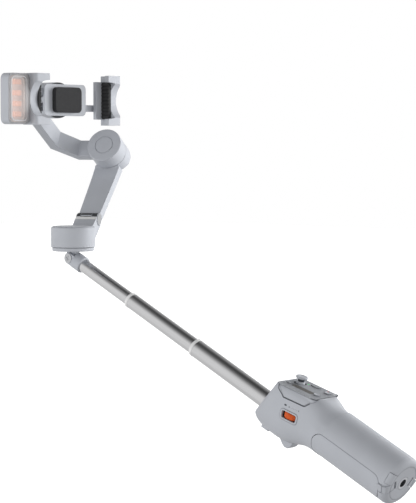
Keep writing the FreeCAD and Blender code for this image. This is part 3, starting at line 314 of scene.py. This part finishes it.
def at(x, y, z, angle=0.0, axis="Z"):
    """A frame at a place in millimetres, turned by an angle in degrees."""
    return Matrix.Translation(Vector((x, y, z)) * MM) @ Matrix.Rotation(math.radians(angle), 4, axis)


# The handle's X runs out of the grip's end along its axis, from the mouth of the tripod thread.
# The remote's top and the wheel beside it tilt against that axis by the same angle.
TOP_TILT = -9.32
HANDLE = Matrix.Rotation(ROD_SLOPE, 4, "Y")
REMOTE = HANDLE @ at(-103.5, 0, 17.5, TOP_TILT, "Y")
WHEEL = HANDLE @ at(-99.5, -11.2, -1.9, TOP_TILT, "Y")
STICK_SPOT = (-11.3, 4.4)
STICK = REMOTE @ at(*STICK_SPOT, 0)
BASE = HANDLE @ Matrix.Rotation(math.radians(90), 4, "Y")

# The pan axis is upright, and the arm above the pan motor is turned about it.
PAN_AXIS_X, ARM_TURN = -332.9975, 22.36
ARM = at(PAN_AXIS_X, 0, 148.59, ARM_TURN)

# The clamp's face looks along X, so that a shape's own x and y lie along Y and Z.
CLAMP_FACE = at(PAN_AXIS_X, 0, 279.46) @ Matrix(((0, 0, 1, 0), (1, 0, 0, 0), (0, 1, 0, 0), (0, 0, 0, 1)))

# --- Shapes, in millimetres ----------------------------------------------------------

CORNER_STEPS = 6


def skin(rings):
    """Joins rings of points, each with the same count, into a tube capped at both ends."""
    mesh = bmesh.new()
    rows = [[mesh.verts.new(point) for point in ring] for ring in rings]
    count = len(rows[0])
    for low, high in zip(rows, rows[1:]):
        for i in range(count):
            mesh.faces.new((low[i], low[(i + 1) % count], high[(i + 1) % count], high[i]))
    mesh.faces.new(rows[0])
    mesh.faces.new(rows[-1])
    return mesh


def hoop(rows):
    """A closed band: each row is a loop of points, and the last row meets the first."""
    mesh = bmesh.new()
    loops = [[mesh.verts.new(point) for point in row] for row in rows]
    count = len(loops[0])
    for index, row in enumerate(loops):
        following = loops[(index + 1) % len(loops)]
        for i in range(count):
            mesh.faces.new((row[i], row[(i + 1) % count], following[(i + 1) % count], following[i]))
    return mesh


def circle(radius, height, steps, centre=(0, 0)):
    """A ring of points about Z."""
    return [(centre[0] + radius * math.cos(math.tau * i / steps),
             centre[1] + radius * math.sin(math.tau * i / steps), height) for i in range(steps)]


def rounded_outline(centre, half_x, half_y, radius):
    """The points of a rectangle with round corners, from its +X edge round to the start."""
    points = []
    for corner, start in (((1, 1), 0), ((-1, 1), 90), ((-1, -1), 180), ((1, -1), 270)):
        for step in range(CORNER_STEPS + 1):
            angle = math.radians(start + 90 * step / CORNER_STEPS)
            points.append((centre[0] + (corner[0] * (half_x - radius) + radius * math.cos(angle)),
                           centre[1] + (corner[1] * (half_y - radius) + radius * math.sin(angle))))
    return points


def inset_ring(centre, half_x, half_y, radius, inset, least_radius, height):
    """A rounded outline at a height, moved inwards by an inset."""
    outline = rounded_outline(centre, half_x - inset, half_y - inset, max(radius - inset, least_radius))
    return [(x, y, height) for x, y in outline]


def tile(centre, half_x, half_y, radius, low, high, bevel):
    """A flat rounded tile with a chamfered upper edge."""
    return skin([inset_ring(centre, half_x, half_y, radius, inset, 0.05, height)
                 for inset, height in ((0, low), (0, high - bevel), (bevel, high))])


def ring_frame(centre, half_x, half_y, radius, width, low, high):
    """A rounded rectangular ring."""
    return hoop([inset_ring(centre, half_x, half_y, radius, inset, 0.3, height)
                 for inset, height in ((0, low), (0, high), (width, high), (width, low))])


def disc(centre, radius, low, high):
    """A round disc with a chamfered upper edge."""
    bevel, steps = 0.08, 24
    profile = ((radius, low), (radius, high - bevel), (radius - bevel, high))
    return skin([circle(size, height, steps, centre) for size, height in profile])


def turned_piece(profile):
    """A body of revolution about Z from (radius, height) pairs."""
    return skin([circle(radius, height, steps=32) for radius, height in profile])


def washer(inner, outer, low, high):
    """A round flat ring with its upper edges eased."""
    profile = ((outer, low), (outer, high - 0.02), (outer - 0.08, high), (inner + 0.08, high),
               (inner, high - 0.02), (inner, low))
    return hoop([circle(radius, height, steps=40) for radius, height in profile])


def ribbed_wheel():
    """The side wheel with fine ribs across its rim."""
    wheel_radius, ribs, rib_depth = 7.15, 44, 0.34
    points = ribs * 4
    rings = []
    for inset, height in ((0.7, -2.3), (0.15, -1.85), (0.0, -1.2), (0.0, 1.2), (0.15, 1.85), (0.7, 2.3)):
        ring = []
        for i in range(points):
            radius = wheel_radius - inset - (rib_depth if i % 4 in (0, 3) else 0.0)
            angle = math.tau * i / points
            ring.append((radius * math.cos(angle), radius * math.sin(angle), height))
        rings.append(ring)
    return skin(rings)


def crescent(centre, inner, thick, first, last, low, high):
    """A thin mark round part of a circle, widest at its middle."""
    steps = 16
    rings = []
    for step in range(steps + 1):
        share = step / steps
        angle = math.radians(first + (last - first) * share)
        outer = inner + 0.1 + thick * math.sin(math.pi * share)
        rings.append([(centre[0] + radius * math.cos(angle), centre[1] + radius * math.sin(angle), height)
                      for radius, height in ((inner, low), (outer, low), (outer, high), (inner, high))])
    return skin(rings)


def neighbours(points, index):
    """The points before and after one on a path, or the point itself at an end."""
    return points[max(index - 1, 0)], points[min(index + 1, len(points) - 1)]


def flat_line(points, width, low, high):
    """A flat band along a path in the XY plane."""
    rings = []
    for index, (x, y) in enumerate(points):
        before, after = neighbours(points, index)
        along = Vector((after[0] - before[0], after[1] - before[1])).normalized() * width / 2
        rings.append([(x + along.y, y - along.x, low), (x - along.y, y + along.x, low),
                      (x - along.y, y + along.x, high), (x + along.y, y - along.x, high)])
    return skin(rings)


def path(corners):
    """Points spread evenly along each leg of a line through corners."""
    steps = 7
    points = []
    for (x0, z0), (x1, z1) in zip(corners, corners[1:]):
        points += [(x0 + (x1 - x0) * i / steps, z0 + (z1 - z0) * i / steps) for i in range(steps)]
    return points + [corners[-1]]


def add_piece(name, mesh, frame_of, material, body):
    """Places a mesh given in millimetres in a local frame, and hangs it on a body."""
    data = bpy.data.meshes.new(name)
    bmesh.ops.transform(mesh, matrix=frame_of @ Matrix.Diagonal((MM, MM, MM, 1)), verts=mesh.verts)
    bmesh.ops.recalc_face_normals(mesh, faces=mesh.faces)
    for face in mesh.faces:
        face.smooth = True
    mesh.to_mesh(data)
    mesh.free()
    data.set_sharp_from_angle(angle=SHARP_ANGLE)
    data.materials.append(material)
    thing = bpy.data.objects.new(name, data)
    bpy.context.scene.collection.objects.link(thing)
    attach(thing, body)
    return thing


# --- Wheel and remote ----------------------------------------------------------------

wheel = add_piece("ribbed_wheel", ribbed_wheel(), WHEEL, paints["orange_plastic"], "wheel")
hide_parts("zoom_wheel")

display_strip = tile((-1.0, -5.4), half_x=9.8, half_y=2.9, radius=2.0, low=0.0, high=0.04, bevel=0.02)
add_piece("display_strip", display_strip, REMOTE, STRIP, "remote")

LAMP_RADIUS = 0.52
LAMPS = {"green": ((-7.0, 8.6), GREEN_LENS), "red": ((9.0, 12.4), RED_LENS),
         "white": ((15.4, 12.0), WHITE_LENS)}
for colour, (spot, lens) in LAMPS.items():
    lamp_disc = disc(spot, LAMP_RADIUS, low=-1.0, high=0.08)
    lamp_piece = add_piece(colour + "_lamp", lamp_disc, REMOTE, lens, "remote")
    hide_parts("remote_leds")

# The joystick: a painted shadow in its hole round the foot, then a dished cap, the foot and the neck
# between them, painted dark as shade under the cap
stick_painted_shadow = crescent(STICK_SPOT, inner=4.62, thick=1.0, first=200, last=320, low=-0.05, high=0.03)
add_piece("stick_painted_shadow", stick_painted_shadow, REMOTE, PRINT_AND_SHADE, "remote")
CAP_PROFILE = [(2.5, 3.3), (3.6, 3.5), (4.4, 3.8), (4.7, 4.2), (4.7, 4.8), (4.35, 5.3), (3.6, 5.55),
               (2.6, 5.4), (1.2, 5.2), (0.2, 5.15)]
FOOT_PROFILE = [(1.7, -0.5), (3.6, -0.5), (3.7, -0.2), (3.6, 0.4), (3.2, 1.0), (2.7, 1.4)]
NECK_PROFILE = [(1.45, -3.4), (1.45, -0.5), (2.6, 1.5), (2.5, 2.4), (2.9, 3.32)]
stick = add_piece("thumb_stick", turned_piece(CAP_PROFILE), STICK, paints["grey_plastic"], "joystick")
foot = add_piece("stick_foot", turned_piece(FOOT_PROFILE), STICK, paints["grey_plastic"], "joystick")
# The neck is painted dark: painted shade under the cap.
neck = add_piece("stick_neck_painted_shade", turned_piece(NECK_PROFILE), STICK, PRINT_AND_SHADE, "joystick")
for part in (stick, foot, neck):
    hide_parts("joystick_cap")

# A raised ring on each round button
RING_PROFILE = [(1.75, 0.72), (2.3, 0.72), (2.48, 0.8), (2.3, 0.93), (1.9, 0.93), (1.75, 0.85)]
BUTTONS = {"front": (-14.1, -4.7), "rear": (11.8, -4.7), "record": (12.3, 8.2)}
for label, spot in BUTTONS.items():
    add_piece(label + "_button_ring", turned_piece(RING_PROFILE), REMOTE @ at(*spot, 0),
              paints["grey_plastic"], label + "_button")

# --- Marks and seams on the head's near side -----------------------------------------

head = nodes["handle_housing"]
bpy.context.view_layer.update()


def on_head(frame_of, x, z):
    """The head's near side at a place in a local frame: the point in metres and the normal."""
    outside = -60
    hit, place, normal, _ = head.ray_cast(frame_of @ (Vector((x, outside, z)) * MM), Vector((0, 1, 0)))
    return (place, normal) if hit else (None, None)


def facing(place, normal, turn):
    """A frame on the head's side that looks along the normal, turned about it in degrees."""
    across = (HANDLE.to_3x3() @ Vector((0, 0, 1))).cross(normal).normalized()
    axes = Matrix((across, normal.cross(across), normal)).transposed().to_4x4()
    return Matrix.Translation(place) @ axes @ at(0, 0, 0, turn)


def seam(name, points, width, material):
    """A thin dark line laid on the head's side along a path in the remote's frame."""
    bottom, top = -0.1, 0.03
    rings = []
    for index, (x, z) in enumerate(points):
        place, normal = on_head(REMOTE, x, z)
        if place is None:
            continue
        before, after = neighbours(points, index)
        along = REMOTE.to_3x3() @ Vector((after[0] - before[0], 0, after[1] - before[1])).normalized()
        side, low, high = normal.cross(along).normalized() * width / 2, normal * bottom, normal * top
        rings.append([place / MM + step for step in (side + low, side + high, high - side, low - side)])
    add_piece(name, skin(rings), Matrix.Identity(4), material, "handle")


# The printed charge marks: an oblong, a dot, four small dots and a bar, each given by its place
# along and above the handle's axis and its half sizes
SMALL_DOTS = [(-99.4 + 1.5 * i, 5.2 + 0.3 * i, 0.2, 0.2) for i in range(4)]
MARKS = [(-105.9, 4.4, 1.1, 0.62), (-102.2, 4.7, 0.45, 0.45), *SMALL_DOTS, (-93.1, 6.6, 0.25, 0.6)]
MARK_TURN = 12
for index, (x, z, half_x, half_z) in enumerate(MARKS):
    place, normal = on_head(HANDLE, x, z)
    if place is None:
        continue
    corner = min(half_x, half_z) * 0.8
    mark = tile((0, 0), half_x, half_z, corner, low=-0.05, high=0.03, bevel=0.01)
    add_piece(f"print_mark_{index}", mark, facing(place, normal, MARK_TURN), PRINT_AND_SHADE, "handle")

FLAP_CORNERS = [(-17.0, -0.2), (-16.4, -0.6), (-14.6, -3.6), (-10.6, -6.0), (-8.6, -7.8), (-7.4, -7.95),
                (11.2, -7.65), (12.6, -7.0), (18.9, -0.6)]
seam("flap_seam", path(FLAP_CORNERS), width=0.7, material=PRINT_AND_SHADE)

wheel_window = rounded_outline((0.81, -19.79), half_x=8.5, half_y=4.2, radius=2.6)
seam("wheel_seam", wheel_window + wheel_window[:1], width=0.34, material=SEAM_GREY)

# --- Rings on the grip's base and edges of the remote's top --------------------------

thread_ring = washer(inner=3.2, outer=5.05, low=-0.1, high=0.06)
thread_ring_seam = washer(inner=5.07, outer=5.4, low=-0.1, high=0.03)
base_disc_seam = washer(inner=13.7, outer=14.0, low=-0.1, high=0.03)
add_piece("thread_ring", thread_ring, BASE, PALE_GREY, "handle")
add_piece("thread_ring_seam", thread_ring_seam, BASE, SEAM_GREY, "handle")
add_piece("base_disc_seam", base_disc_seam, BASE, SEAM_GREY, "handle")

# The gap lies round the top, and its rear stretch runs from the corner before +X to the one after.
TOP_HALF_X, TOP_HALF_Y, TOP_CORNER, GAP = 17.95, 15.15, 2.95, 0.35
gap_outline = rounded_outline((0, 0), TOP_HALF_X + GAP, TOP_HALF_Y + GAP, TOP_CORNER + GAP)
rear_edge = gap_outline[-CORNER_STEPS - 1:] + gap_outline[:CORNER_STEPS + 1]
# A dark band laid in the gap's rear stretch: painted shade in the gap.
rear_gap_painted_shade = flat_line(rear_edge, width=0.55, low=-0.3, high=0.04)
add_piece("rear_gap_painted_shade", rear_gap_painted_shade, REMOTE, PRINT_AND_SHADE, "handle")
top_rim = ring_frame((0, 0), TOP_HALF_X, TOP_HALF_Y, TOP_CORNER, width=0.4, low=-0.05, high=0.035)
add_piece("top_rim", top_rim, REMOTE, paints["grey_plastic"], "remote")

# --- Fold hinge of the arm -----------------------------------------------------------

# The hinge's axis runs along the arm frame's X. The ramp in front of it falls towards -Y.
FOLD_Y, FOLD_Z, BARREL_RADIUS = 34.5, 30.9, 5.16
RAMP_TOP_Y, RAMP_TOP_Z = 31.0, 34.4
RAMP_BACK, RAMP_DOWN = 0.787, 0.617
HINGE_HALF, KNUCKLE_SPAN = 9.2, (-5.7, 3.9)
STRIP_END_ANGLE = 88
BARREL_SPANS = {"knuckle": (*KNUCKLE_SPAN, 46, "pan_rotor"), "left": (-HINGE_HALF, -6.1, 30, "upper_arm"),
                "right": (4.3, HINGE_HALF, 30, "upper_arm")}


def arc_strip(first, last, start, end):
    """A curved strip on the barrel between two angles in degrees, from start to end along X."""
    steps, thick = 14, 0.1
    rings = []
    for step in range(steps + 1):
        angle = math.radians(first + (last - first) * step / steps)
        corners = ((BARREL_RADIUS, start), (BARREL_RADIUS, end), (BARREL_RADIUS + thick, end),
                   (BARREL_RADIUS + thick, start))
        rings.append([(x, FOLD_Y - radius * math.cos(angle), FOLD_Z + radius * math.sin(angle))
                      for radius, x in corners])
    return skin(rings)


def ramp_plate(start, end, lower, upper):
    """A thin plate on the ramp, between two distances down its slope."""
    thick = 0.03
    rings = []
    for along in (lower, upper):
        y, z = RAMP_TOP_Y - RAMP_BACK * along, RAMP_TOP_Z - RAMP_DOWN * along
        rings.append([(start, y, z), (end, y, z), (end, y - RAMP_DOWN * thick, z + RAMP_BACK * thick),
                      (start, y - RAMP_DOWN * thick, z + RAMP_BACK * thick)])
    return skin(rings)


for label, (start, end, first, body) in BARREL_SPANS.items():
    strip = arc_strip(first, STRIP_END_ANGLE, start, end)
    add_piece("hinge_black_" + label, strip, ARM, paints["dark_plastic"], body)
black_plate = ramp_plate(*KNUCKLE_SPAN, lower=1.9, upper=0.4)
add_piece("hinge_black_front", black_plate, ARM, paints["dark_plastic"], "pan_rotor")
pale_plate = ramp_plate(-HINGE_HALF, HINGE_HALF, lower=5.2, upper=1.95)
add_piece("hinge_pale_front", pale_plate, ARM, paints["white_plastic"], "pan_rotor")

# --- Light ---------------------------------------------------------------------------

DIODE_ROWS, DIODE_COLUMNS = (-12.4, -4.0, 4.6, 13.5), (-65.5, -59.1)
for row, z in enumerate(DIODE_ROWS):
    for column, y in enumerate(DIODE_COLUMNS):
        diode = tile((y, z), half_x=3.1, half_y=2.1, radius=0.7, low=-2.6, high=-1.6, bevel=0.3)
        add_piece(f"diode_{row}_{column}", diode, CLAMP_FACE, DIODE, "light")

WINDOW_MIDDLE, COVER_MIDDLE = (-62.0, 0), (-61.4, 0)
light_rim = ring_frame(WINDOW_MIDDLE, half_x=7.6, half_y=17.2, radius=4.0, width=0.5, low=-1.4, high=0.6)
cover_ridge = ring_frame(WINDOW_MIDDLE, half_x=8.4, half_y=18.0, radius=4.2, width=0.45, low=2.12, high=2.3)
edge_seam = ring_frame(COVER_MIDDLE, half_x=10.6, half_y=19.8, radius=4.6, width=0.3, low=2.12, high=2.24)
add_piece("light_rim", light_rim, CLAMP_FACE, paints["white_plastic"], "light")
add_piece("cover_ridge", cover_ridge, CLAMP_FACE, PALE_GREY, "light")
add_piece("cover_edge_seam", edge_seam, CLAMP_FACE, SEAM_GREY, "light")
